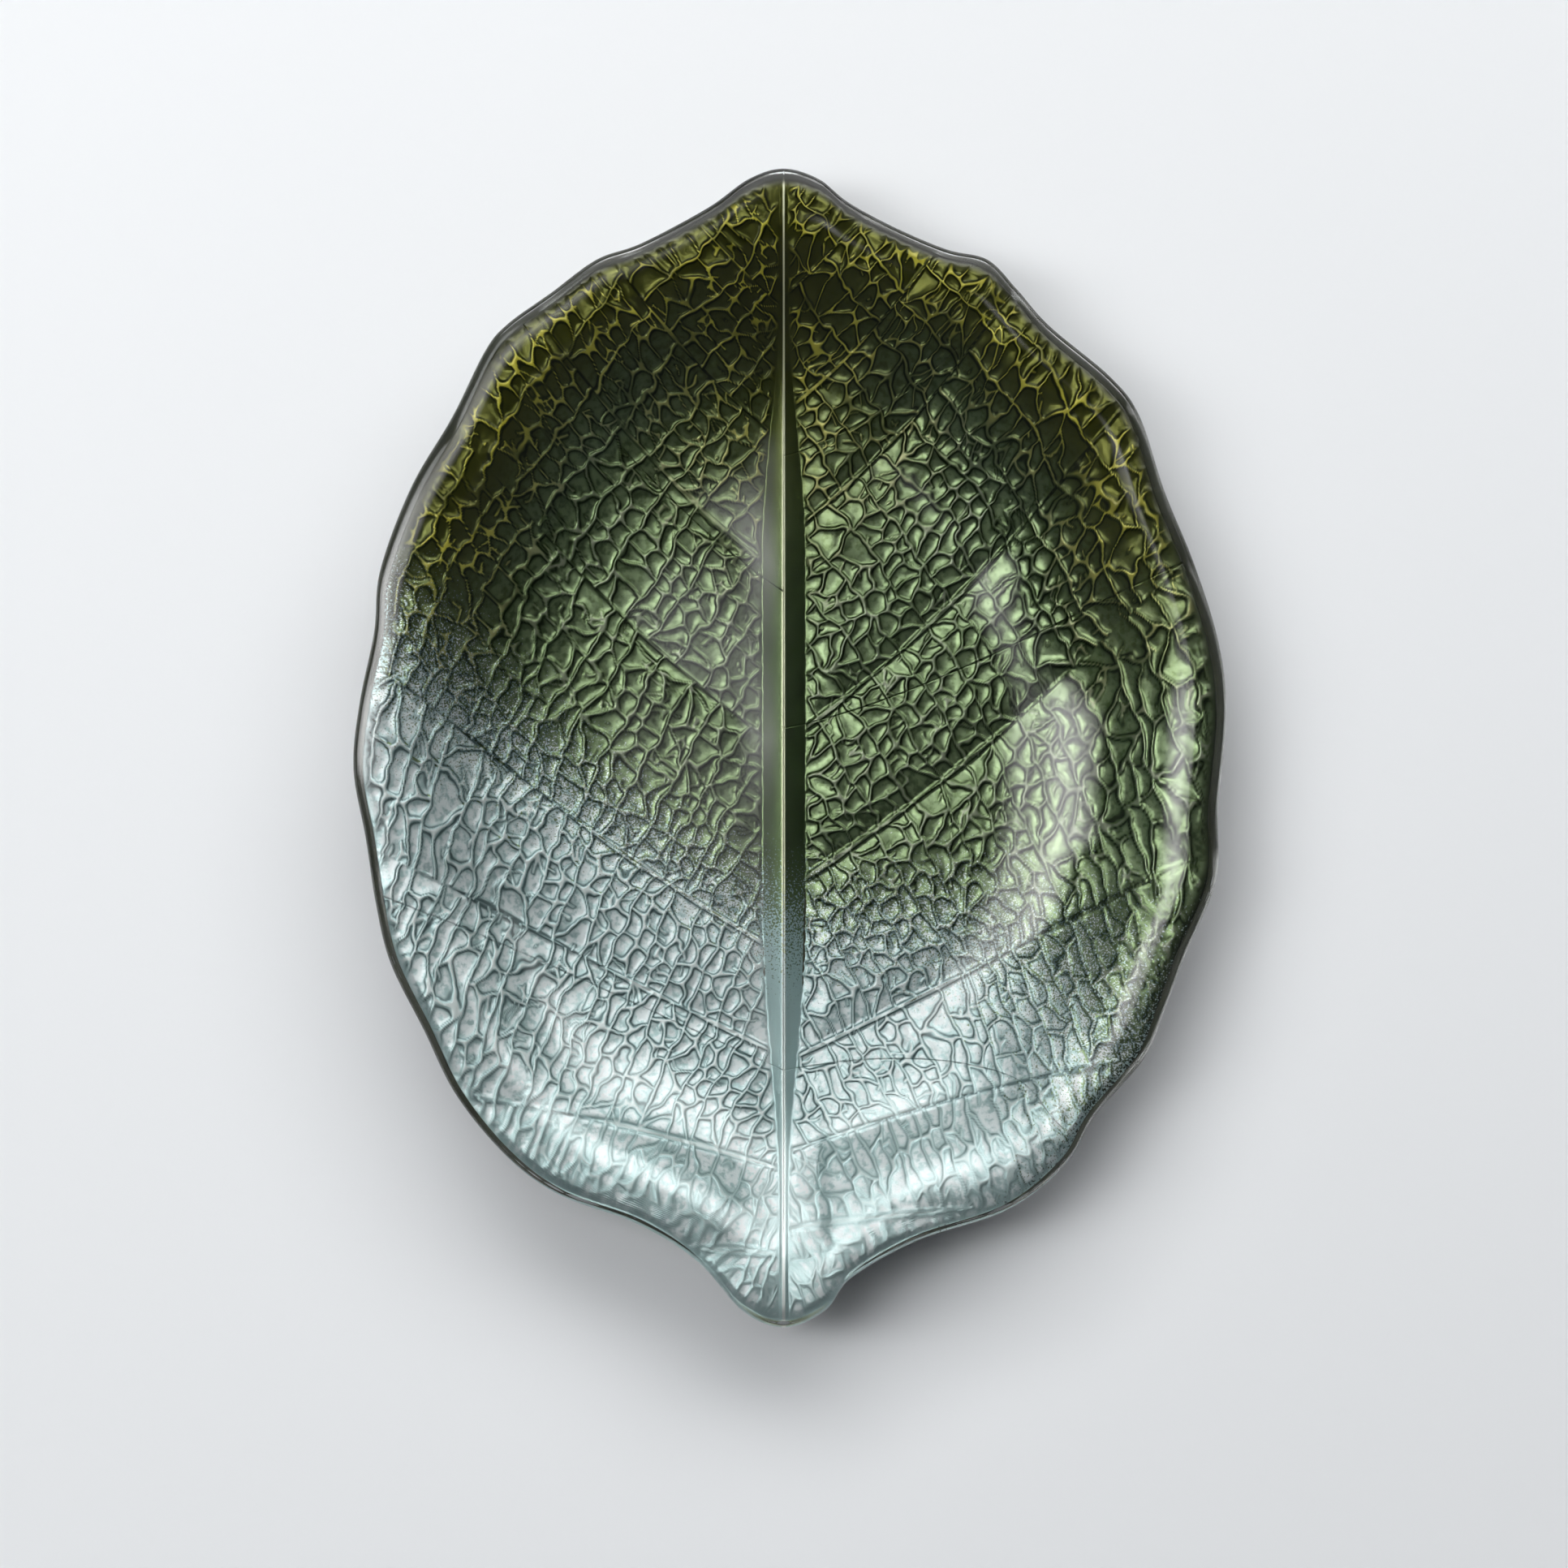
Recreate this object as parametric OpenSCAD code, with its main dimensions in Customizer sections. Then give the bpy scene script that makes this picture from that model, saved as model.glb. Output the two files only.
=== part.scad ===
// Leaf shaped serving plate of pressed clear glass. The top is smooth; the midrib and the
// side veins are pressed into the underside, which is lacquered silver and green and then
// sealed with a dark backing coat.
// Millimetres, +Z up, +Y toward the leaf tip, origin on the table under the middle.

/* [Leaf] */
// Length over the stem end and the tip
leaf_length = 280; // [210:5:330]
// Width over the widest lobes
leaf_width = 211; // [160:1:250]
// Height from the table to the top of the rim
plate_height = 26; // [20:0.5:34]

/* [Dish] */
// Share of the radius at which the rim is highest
crest_share = 0.95; // [0.92:0.01:0.97]
// How late the wall rises on the way from the well to the rim
wall_lean = 4.5; // [3.5:0.25:5.5]
// Drop from the top of the rim to its edge
edge_drop = 1.2; // [0:0.2:2]

/* [Glass] */
// Thickness of the glass in the well
glass_thickness = 4.6; // [4:0.2:6]
// Depth of the rounding on the rim's edge
edge_round = 1.6; // [1:0.1:2.2]
// Height of the low roof along the midrib on the top face
roof_height = 1.1; // [0:0.1:1.6]
// Reach of that roof to each side
roof_reach = 22; // [14:1:30]

/* [Veins] */
// Width of the midrib channel under the plate
midrib_width = 9; // [6:0.5:12]
// Share of that width that is left at the tip
midrib_taper = 0.4; // [0.3:0.05:1]
// Depth of the midrib channel
midrib_depth = 2; // [1:0.1:2.4]
// Width of the line along the midrib's bottom
midrib_line = 2; // [1.2:0.2:3]
// Width of a side vein's channel
vein_width = 3; // [2:0.2:4]
// Depth of a side vein's channel beside the midrib
vein_depth = 0.8; // [0.4:0.1:1]
// Steepness of the side veins, as rise for each unit of run
vein_rise = 0.75; // [0.6:0.05:0.9]
// Upward bend of the side veins toward the rim
vein_bend = 0.3; // [0.1:0.05:0.4]
// Share of the radius at which the veins begin to fade
relief_share = 0.8; // [0.6:0.02:0.88]

/* [Coats] */
// Thickness of the silver and green lacquer
colour_film = 0.15; // [0.1:0.05:0.3]
// Thickness of the dark backing lacquer
backing_film = 0.2; // [0.1:0.05:0.4]

/* [Hidden] */
half_length = leaf_length / 2;
half_width = leaf_width / 2;
under_glass = colour_film + backing_film;
wall_rise = plate_height - under_glass - glass_thickness;

// One point for each crest, hollow and turn of the wavy rim, from the tip round by the right
// side to the stem end, and on by the left side. Only their proportions count.
right_rim = [
    [-1.5, 140], [7, 137.5], [14, 132], [25, 126], [38, 120.5], [48, 118], [55, 111], [63, 102],
    [78, 89.5], [85, 80], [91, 62], [98, 45], [104, 26], [106, 9], [104, -14], [103.5, -32],
    [96, -50], [91.5, -62], [86, -75], [74, -89], [67, -100.5], [53, -111.5], [31, -119],
    [15, -128], [8.5, -136]];
left_rim = [
    [-1.5, -140], [-11.5, -136], [-22.5, -124], [-37, -115], [-56, -108], [-69, -98.5], [-81, -84],
    [-89, -68], [-97, -52], [-100.5, -38], [-103, -22], [-106, -5], [-104.5, 11], [-101, 28],
    [-99.5, 43], [-92, 63], [-82, 80], [-74, 96], [-68.5, 102.5], [-58, 110], [-47, 118],
    [-36, 122], [-20, 130.5], [-10, 137.5]];
rim_points = concat(right_rim, left_rim);
rim_count = len(rim_points);
// Steps of the curve between two of those points
rim_steps = 6;

// Where the side veins leave the midrib, as shares of half the length, [left, right]
vein_feet = [
    [-0.88, -0.84], [-0.74, -0.71], [-0.54, -0.55], [-0.36, -0.25],
    [0, 0.01], [0.3, 0.37], [0.54, 0.59], [0.77, 0.79]];
// The vein, counted from the stem, on which the silver ends at each side
silver_end = [4, 3];

// Widest gap between two ribs of the surface, as a share of half the length
rib_pitch = 0.075;
// Rows from the midrib's edge to the rim, as shares of that way
rows_out = [0.17, 0.36, 0.53, 0.67, 0.78, 0.87, 0.94, 1];
row_count = len(rows_out) + 2;
// Share of a short rib that the midrib may take
midrib_share = 0.4;
// Share of its depth that a side vein loses on its way out to the rim
vein_thinning = 0.5;
// Share of the edge's thickness that its rounding takes above and below
nose_share = 0.3;
// Rounds in which the foot of a point's vein line is found
foot_rounds = 8;

function clamp(x, low, high) = min(max(x, low), high);
function mix(a, b, t) = a + (b - a) * t;
function along(list, s) = let (i = min(floor(s), len(list) - 2)) mix(list[i], list[i + 1], s - i);

// Smooth closed curve through the rim points
function curve(a, b, c, d, t) =
    0.5 * (2 * b + (c - a) * t + (2 * a - 5 * b + 4 * c - d) * t * t
        + (3 * b - a - 3 * c + d) * t * t * t);
function rim_point(i) = rim_points[(i + rim_count) % rim_count];
raw_rim = [for (i = [0 : rim_count - 1]) for (k = [0 : rim_steps - 1])
    curve(rim_point(i - 1), rim_point(i), rim_point(i + 1), rim_point(i + 2), k / rim_steps)];

// The curve stretched and centred to the asked length and width
raw_x = [for (p = raw_rim) p.x];
raw_y = [for (p = raw_rim) p.y];
raw_centre = [max(raw_x) + min(raw_x), max(raw_y) + min(raw_y)] / 2;
stretch = [leaf_width / (max(raw_x) - min(raw_x)), leaf_length / (max(raw_y) - min(raw_y))];
rim = [for (p = raw_rim) [(p.x - raw_centre.x) * stretch.x, (p.y - raw_centre.y) * stretch.y]];
midrib_x = rim[0].x;

// The two sides of the rim from the stem end to the tip
stem_index = len(right_rim) * rim_steps;
right_side = [for (i = [stem_index : -1 : 0]) rim[i]];
left_side = concat([for (i = [stem_index : len(rim) - 1]) rim[i]], [rim[0]]);
function inset(p) = p * (1 - edge_round / norm(p));

// Share of the way from the middle to the rim: ellipses in the well, the wavy rim outside
function bearing(p) = atan2(p.y, p.x);
first_bearing = bearing(rim[0]);
function turn(p) = (first_bearing - bearing(p) + 720) % 360;
rim_radius = concat([for (p = rim) [turn(p), norm(p)]], [[360, norm(rim[0])]]);
function share(p) = let (
    r = norm(p),
    oval = r == 0 ? 1 : 1 / norm([p.x / half_width, p.y / half_length] / r),
    edge = lookup(turn(p), rim_radius),
    near = pow(min(r / edge, 1), 2))
    r / mix(oval, edge, near);

// Height of the dish above its middle: almost flat, then a wall that eases into the rim
function climb(s) = let (
    t = pow(min(s / crest_share, 1), wall_lean),
    past_crest = max(s - crest_share, 0) / (1 - crest_share))
    wall_rise * t * t * (6 - 8 * t + 3 * t * t) - edge_drop * past_crest * past_crest;

// Side veins: from the foot v on the midrib, the line rises with the run and bends up
bend_growth = 0.5;
stem_turn = -0.98;
stem_fade = 0.43;
slope_scale = half_width / half_length;
function lean(v) = vein_rise * slope_scale * (1 - exp((stem_turn - v) / stem_fade));
function bend(v) = vein_bend + bend_growth * v;
function vein_y(v, run) = v + lean(v) * run + bend(v) * run * run;
function foot_slope(v, run) =
    1 + vein_rise * slope_scale * exp((stem_turn - v) / stem_fade) / stem_fade * run
    + bend_growth * run * run;
function foot(y, run, v, n) =
    n <= 0 ? v : foot(y, run, v - (vein_y(v, run) - y) / foot_slope(v, run), n - 1);
function foot_of(p) =
    foot(p.y / half_length, abs(p.x - midrib_x) / half_width, p.y / half_length, foot_rounds);

// Which point of a side a foot's line runs out to
function side_table(side) = [for (i = [0 : len(side) - 1]) [foot_of(inset(side[i])), i]];
left_table = side_table(left_side);
right_table = side_table(right_side);

// Ribs of the surface: each vein's line with its two shoulders, and even steps between veins
function table_end(table) = table[len(table) - 1][0];
foot_ends = concat([[left_table[0][0], right_table[0][0]]], vein_feet,
    [[table_end(left_table), table_end(right_table)]]);
shoulder = vein_width / leaf_length;
// The steps close up toward the stem end and the tip, where the rim turns fastest
function closer(k, t) = k == 0 ? t * t : k == len(vein_feet) ? 1 - (1 - t) * (1 - t) : t;
function steps_between(k) = let (
    a = foot_ends[k],
    b = foot_ends[k + 1],
    gap = max(b[0] - a[0], b[1] - a[1]),
    low = k == 0 ? 0 : shoulder / gap,
    high = k == len(vein_feet) ? 1 : 1 - shoulder / gap,
    n = ceil(gap / rib_pitch) + (k == 0 || k == len(vein_feet) ? 2 : 0))
    concat([0], k == 0 ? [] : [low], [for (i = [1 : n - 1]) mix(low, high, closer(k, i / n))],
        k == len(vein_feet) ? [] : [high]);
ribs = concat(
    [for (k = [0 : len(vein_feet)]) for (t = steps_between(k))
        [mix(foot_ends[k], foot_ends[k + 1], t), k > 0 && t == 0]],
    [[foot_ends[len(vein_feet) + 1], false]]);
rib_count = len(ribs) - 1;
vein_ribs = [for (j = [0 : rib_count]) if (ribs[j][1]) j];
function rib_end(j, s) =
    s == 0 ? lookup(ribs[j][0][0], left_table) : lookup(ribs[j][0][1], right_table);
function rim_at(j, s) = along(s == 0 ? left_side : right_side, rib_end(j, s));

// A grid point of rib j, row i, side s (0 left, 1 right): its place and the channel depth there
function rib_y(j) = (ribs[j][0][0] + ribs[j][0][1]) / 2;
function middle(j) = j == 0 ? inset(left_side[0]) : j == rib_count ? inset(rim[0])
    : [midrib_x, rib_y(j) * half_length];
function place(j, i, s) = let (
    end = inset(rim_at(j, s)),
    reach = abs(end.x - midrib_x),
    rib_edge = min(midrib_width / 2 * mix(1, midrib_taper, (rib_y(j) + 1) / 2), midrib_share * reach),
    line_edge = rib_edge * midrib_line / midrib_width,
    run = i == 1 ? line_edge : i == 2 ? rib_edge : mix(rib_edge, reach, rows_out[i - 3]),
    edge_y = half_length * vein_y(ribs[j][0][s], rib_edge / half_width),
    y = i == 1 ? mix(middle(j).y, edge_y, run / rib_edge)
        : half_length * vein_y(ribs[j][0][s], run / half_width))
    i == row_count ? end : [midrib_x + (s == 0 ? -run : run), y];
function channel(j, i) =
    i == 0 ? midrib_depth
    : i == 1 ? midrib_depth * (1 - midrib_line / midrib_width)
    : ribs[j][1] && i < row_count - 1 ? vein_depth * (1 - vein_thinning * rows_out[max(i - 3, 0)])
    : 0;

// The whole grid: midrib first, then the left and the right side rib by rib
grid = concat(
    [for (j = [0 : rib_count]) [middle(j), j == 0 || j == rib_count ? 0 : channel(j, 0)]],
    [for (s = [0, 1]) for (j = [1 : rib_count - 1]) for (i = [1 : row_count])
        [place(j, i, s), channel(j, i)]]);
function at(j, i, s) =
    i == 0 || j == 0 || j == rib_count ? j
    : rib_count + 1 + s * (rib_count - 1) * row_count + (j - 1) * row_count + i - 1;

function fade_out(s) = let (t = clamp((s - relief_share) / (crest_share - relief_share), 0, 1))
    1 - t * t * (3 - 2 * t);
function roof(p) = roof_height * exp(-abs(p.x - midrib_x) / roof_reach) * pow(fade_out(share(p)), 2);
function lifted(p, z) = [p.x, p.y, z];
function under_face(drop) = [for (g = grid)
    lifted(g[0], under_glass + climb(share(g[0])) + g[1] * fade_out(share(g[0])) - drop)];
top_face = [for (g = grid)
    lifted(g[0], under_glass + glass_thickness + climb(share(g[0])) + roof(g[0]))];
glass_under = under_face(0);
colour_under = under_face(colour_film);
backing_under = under_face(under_glass);

// Triangles of the grid from rib a to rib b on side s, clockwise seen from above
function whole(t) = t[0] != t[1] && t[1] != t[2] && t[0] != t[2];
function patch(s, a, b) = [for (j = [a : b - 1]) for (i = [0 : row_count - 1])
    let (p = at(j, i, s), q = at(j, i + 1, s), r = at(j + 1, i + 1, s), o = at(j + 1, i, s))
    for (t = s == 0 ? [[p, q, r], [p, r, o]] : [[p, r, q], [p, o, r]]) if (whole(t)) t];
// Closed loops of grid points, counter-clockwise seen from above
function edge_of(s, a, b) = a < b ? [for (j = [a : b]) at(j, row_count, s)]
    : [for (j = [a : -1 : b]) at(j, row_count, s)];
full_loop = concat(edge_of(1, 0, rib_count), edge_of(0, rib_count - 1, 1));
left_seam = vein_ribs[silver_end[0] - 1];
right_seam = vein_ribs[silver_end[1] - 1];
seam_out = [for (i = [row_count : -1 : 0]) at(right_seam, i, 1)];
seam_in = [for (i = [0 : row_count]) at(left_seam, i, 0)];
seam_mid = [for (j = [right_seam + 1 : left_seam - 1]) j];
seam = concat(seam_out, seam_mid, seam_in);
silver_loop = concat(edge_of(1, 0, right_seam - 1), seam, edge_of(0, left_seam - 1, 1));
green_loop = concat(edge_of(1, right_seam + 1, rib_count), edge_of(0, rib_count - 1, left_seam + 1),
    [for (i = [len(seam) - 1 : -1 : 0]) seam[i]]);

function flipped(faces) = [for (t = faces) [t[0], t[2], t[1]]];
function shifted(faces, n) = [for (t = faces) t + [n, n, n]];
// Band between a lower and an upper loop, facing outward
function band(low, high) = [for (k = [0 : len(low) - 1]) let (m = (k + 1) % len(low))
    for (t = [[low[k], high[m], low[m]], [low[k], high[k], high[m]]]) t];

// A film between two copies of the grid, over some of its triangles and the loop round them
module film(upper, lower, faces, loop) {
    n = len(grid);
    low_loop = [for (k = loop) k + n];
    polyhedron(concat(upper, lower), concat(faces, shifted(flipped(faces), n), band(low_loop, loop)));
}

all_faces = concat(patch(0, 0, rib_count), patch(1, 0, rib_count));
silver_faces = concat(patch(0, 0, left_seam), patch(1, 0, right_seam));
green_faces = concat(patch(0, left_seam, rib_count), patch(1, right_seam, rib_count));

module glass_plate() {
    n = len(grid);
    m = len(full_loop);
    rib_of = concat([for (j = [0 : rib_count]) [j, 1]], [for (j = [rib_count - 1 : -1 : 1]) [j, 0]]);
    nose = [for (r = rib_of) rim_at(r[0], r[1])];
    nose_height = [for (k = full_loop) [glass_under[k].z, top_face[k].z]];
    nose_low = [for (k = [0 : m - 1])
        lifted(nose[k], mix(nose_height[k][0], nose_height[k][1], nose_share))];
    nose_high = [for (k = [0 : m - 1])
        lifted(nose[k], mix(nose_height[k][1], nose_height[k][0], nose_share))];
    top_loop = full_loop;
    under_loop = [for (k = full_loop) k + n];
    low_loop = [for (k = [0 : m - 1]) 2 * n + k];
    high_loop = [for (k = [0 : m - 1]) 2 * n + m + k];
    color([0.75, 0.86, 0.84, 0.45])
        polyhedron(
            concat(top_face, glass_under, nose_low, nose_high),
            concat(
                all_faces,
                shifted(flipped(all_faces), n),
                band(under_loop, low_loop),
                band(low_loop, high_loop),
                band(high_loop, top_loop)));
}

module silver_coat() {
    color([0.62, 0.7, 0.7])
        film(glass_under, colour_under, silver_faces, silver_loop);
}

module green_coat() {
    color([0.3, 0.42, 0.16])
        film(glass_under, colour_under, green_faces, green_loop);
}

module backing_coat() {
    color([0.2, 0.21, 0.08])
        film(colour_under, backing_under, all_faces, full_loop);
}

glass_plate();
silver_coat();
green_coat();
backing_coat();
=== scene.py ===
import math

import bpy
import numpy as np
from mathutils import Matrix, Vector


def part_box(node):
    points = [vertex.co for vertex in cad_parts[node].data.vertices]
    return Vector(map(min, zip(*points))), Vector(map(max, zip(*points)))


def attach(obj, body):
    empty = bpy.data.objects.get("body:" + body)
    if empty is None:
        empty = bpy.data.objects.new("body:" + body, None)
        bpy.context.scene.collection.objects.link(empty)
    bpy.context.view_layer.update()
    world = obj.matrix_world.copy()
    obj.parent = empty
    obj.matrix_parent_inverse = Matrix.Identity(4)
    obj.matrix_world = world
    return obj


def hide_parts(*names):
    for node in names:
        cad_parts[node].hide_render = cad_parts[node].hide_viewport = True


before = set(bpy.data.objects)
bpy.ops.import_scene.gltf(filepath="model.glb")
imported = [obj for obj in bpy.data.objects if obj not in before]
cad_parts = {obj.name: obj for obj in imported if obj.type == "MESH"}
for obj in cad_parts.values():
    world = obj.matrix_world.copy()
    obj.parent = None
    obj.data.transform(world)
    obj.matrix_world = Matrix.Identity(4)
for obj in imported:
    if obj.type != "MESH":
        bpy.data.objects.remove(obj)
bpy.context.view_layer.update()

# Glass plate
# One pressing of clear glass in the shape of a leaf: smooth and fire-polished on top, with a low
# roof along the midrib, and a leaf's midrib, side veins and fine net pressed into its underside.

MM = 0.001
glass_low, glass_high = (np.array(c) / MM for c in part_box("glass_plate"))
HALF_WIDTH = (glass_high[0] - glass_low[0]) / 2
HALF_LENGTH = (glass_high[1] - glass_low[1]) / 2
RIM_HEIGHT = glass_high[2]
COATS = glass_low[2]
GLASS_WALL = 4.6
CREST, WALL_LEAN = 0.95, 4.5
EDGE_ROUND, EDGE_DROP = 1.6, 1.2
ROOF, ROOF_REACH = 1.1, 22.0

# One point for each crest, hollow and turn of the wavy rim, clockwise from the tip
RIM_POINTS = np.array([
    (-1.5, 140), (7, 137.5), (14, 132), (25, 126), (38, 120.5), (48, 118), (55, 111), (63, 102),
    (78, 89.5), (85, 80), (91, 62), (98, 45), (104, 26), (106, 9), (104, -14), (103.5, -32),
    (96, -50), (91.5, -62), (86, -75), (74, -89), (67, -100.5), (53, -111.5), (31, -119),
    (15, -128), (8.5, -136), (-1.5, -140), (-11.5, -136), (-22.5, -124), (-37, -115), (-56, -108),
    (-69, -98.5), (-81, -84), (-89, -68), (-97, -52), (-100.5, -38), (-103, -22), (-106, -5),
    (-104.5, 11), (-101, 28), (-99.5, 43), (-92, 63), (-82, 80), (-74, 96), (-68.5, 102.5),
    (-58, 110), (-47, 118), (-36, 122), (-20, 130.5), (-10, 137.5)])
STEM_POINT = 25
RIM_STEPS = 40


def rim_curve():
    """Closed smooth cubic through the rim points, stretched to the glass node's length and width."""
    a, b, c, d = (np.roll(RIM_POINTS, k, axis=0)[:, None] for k in (1, 0, -1, -2))
    t = (np.arange(RIM_STEPS) / RIM_STEPS)[None, :, None]
    curve = 2 * b + (c - a) * t + (2 * a - 5 * b + 4 * c - d) * t**2 + (3 * b - a - 3 * c + d) * t**3
    curve = (0.5 * curve).reshape(-1, 2)
    low, high = curve.min(axis=0), curve.max(axis=0)
    return (curve - (low + high) / 2) * 2 * np.array([HALF_WIDTH, HALF_LENGTH]) / (high - low)


rim = rim_curve()
MIDRIB_X = rim[0, 0]
rim_bearing = np.arctan2(rim[:, 1], rim[:, 0])
rim_radius = np.hypot(rim[:, 0], rim[:, 1])


def smooth(x, low, high):
    """0 below low, 1 above high, and a smooth S between."""
    t = np.clip((x - low) / (high - low), 0, 1)
    return t * t * (3 - 2 * t)


def edge_at(bearing):
    """Radius of the rim in a direction from the middle."""
    return np.interp(bearing, rim_bearing, rim_radius, period=2 * np.pi)


def share(x, y):
    """Share of the way from the middle to the rim: ellipses in the well, the wavy rim outside."""
    r = np.hypot(x, y) + 1e-9
    oval = r / np.hypot(x / HALF_WIDTH, y / HALF_LENGTH).clip(1e-9)
    edge = edge_at(np.arctan2(y, x))
    near = np.minimum(r / edge, 1) ** 2
    return r / (oval + (edge - oval) * near)


def climb(s):
    """Height of the dish above its middle: almost flat, then a wall that eases into the rim's
    crest, and a small drop past it."""
    t = np.minimum(s / CREST, 1) ** WALL_LEAN
    rise = RIM_HEIGHT - COATS - GLASS_WALL
    past_crest = np.maximum(s - CREST, 0) / (1 - CREST)
    return rise * t * t * (6 - 8 * t + 3 * t * t) - EDGE_DROP * past_crest**2


# Side veins: where they leave the midrib, as shares of half the length, for left and right
VEIN_FEET = np.array([
    (-0.88, -0.84), (-0.74, -0.71), (-0.54, -0.55), (-0.36, -0.25),
    (0, 0.01), (0.3, 0.37), (0.54, 0.59), (0.77, 0.79)])
VEIN_RISE, VEIN_BEND, BEND_GROWTH, STEM_TURN, STEM_FADE = 0.75, 0.3, 0.5, -0.98, 0.43


def vein_y(v, run):
    """Height up the leaf of the vein line with foot v at a run from the midrib: it rises with
    the run, less so near the stem, and bends up with the run's square. All are shares."""
    lean = VEIN_RISE * HALF_WIDTH / HALF_LENGTH * (1 - np.exp((STEM_TURN - v) / STEM_FADE))
    return v + lean * run + (VEIN_BEND + BEND_GROWTH * v) * run**2


def foot_of(x, y):
    """Foot v of the vein line through a point, found by Newton's rule on vein_y."""
    run, goal = np.abs(x - MIDRIB_X) / HALF_WIDTH, y / HALF_LENGTH
    v = goal.copy()
    for _ in range(10):
        slope = 1 + BEND_GROWTH * run**2 + run * VEIN_RISE * HALF_WIDTH / HALF_LENGTH * np.exp(
            (STEM_TURN - v) / STEM_FADE) / STEM_FADE
        v = v - (vein_y(v, run) - goal) / slope
    return v


def rim_runs():
    """For each side, the feet of the vein lines that end on the rounded rim and their runs."""
    inset = rim * (1 - EDGE_ROUND / rim_radius)[:, None]
    stem = STEM_POINT * RIM_STEPS
    sides = (np.vstack([inset[stem:], inset[:1]]), inset[stem::-1])
    return [(foot_of(p[:, 0], p[:, 1]), np.abs(p[:, 0] - MIDRIB_X)) for p in sides]


left_rim, right_rim = rim_runs()
FOOT_LOW, FOOT_HIGH = -0.9875, 0.9875


def leaf_point(v, q):
    """Point on the vein line with foot v at the share q of its run: q is -1 at the left rim,
    0 on the midrib and 1 at the right rim."""
    run = np.abs(q) * np.where(q < 0, np.interp(v, *left_rim), np.interp(v, *right_rim))
    return MIDRIB_X + np.sign(q) * run, HALF_LENGTH * vein_y(v, run / HALF_WIDTH)


chance = np.random.default_rng(11)
CLOUD = chance.random((64, 64))


def cloud(x, y, size):
    """Smooth noise from 0 to 1: random heights on a square lattice, eased between its points."""
    x, y = x / size, y / size
    i, j = np.floor(x).astype(int), np.floor(y).astype(int)
    fx, fy = smooth(x - i, 0, 1), smooth(y - j, 0, 1)
    corner = lambda a, b: CLOUD[(i + a) % 64, (j + b) % 64]
    low = corner(0, 0) * (1 - fx) + corner(1, 0) * fx
    high = corner(0, 1) * (1 - fx) + corner(1, 1) * fx
    return low * (1 - fy) + high * fy


# The net between the side veins: rungs from vein to vein, meshes between the rungs, and twigs that
# end inside a mesh
VEIN_ANGLE = math.radians(33)
SIDE_SHIFT = 520.0
RUNG = 8.0
MESH = np.array([RUNG / 2, 4.4])
TWIG = np.array([2.6, 2.3])
STRIP_SHIFT = chance.random(200) * RUNG
CORNER = 0.35
# Bends of the net's lines along the side veins and across them: how far, the size of the noise, and
# the place it is read from
BENDS_ALONG = ((4.0, 19.0, 300, 300), (1.8, 4.5, 500, 300), (0.9, 2.2, 150, 850))
BENDS_ACROSS = ((1.8, 4.5, 900, 100), (0.9, 2.2, 750, 450))
NET_SIZE, NET_CENTRE = np.array([1000.0, 420.0]), 200
FAR = 9.0


def strip_of(v, right):
    """Number of the strip between two side veins, counted from the stem, apart for each half."""
    left_strip, right_strip = (np.searchsorted(VEIN_FEET[:, k], v) for k in (0, 1))
    return np.where(right, 100 + right_strip, left_strip)


def bends(x, y, kinds):
    """Sum of smooth noises, each from minus half to plus half of how far it bends."""
    return sum(far * (cloud(x + dx, y + dy, size) - 0.5) for far, size, dx, dy in kinds)


def net_place(x, y, v):
    """Point in the net's own flat frame: the first axis runs along the side veins and the second
    across them. Smooth noise bends the lines, each strip has a shift of its own along its veins, and
    the right half is moved clear of the left."""
    run, right = np.abs(x - MIDRIB_X), x > MIDRIB_X
    s = run / math.cos(VEIN_ANGLE) + HALF_LENGTH * v * math.sin(VEIN_ANGLE)
    t = HALF_LENGTH * v * math.cos(VEIN_ANGLE)
    s = s + bends(x, y, BENDS_ALONG) + STRIP_SHIFT[strip_of(v, right)] + np.where(right, SIDE_SHIFT, 0)
    return s + NET_CENTRE, t + bends(x, y, BENDS_ACROSS) + NET_CENTRE


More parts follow.
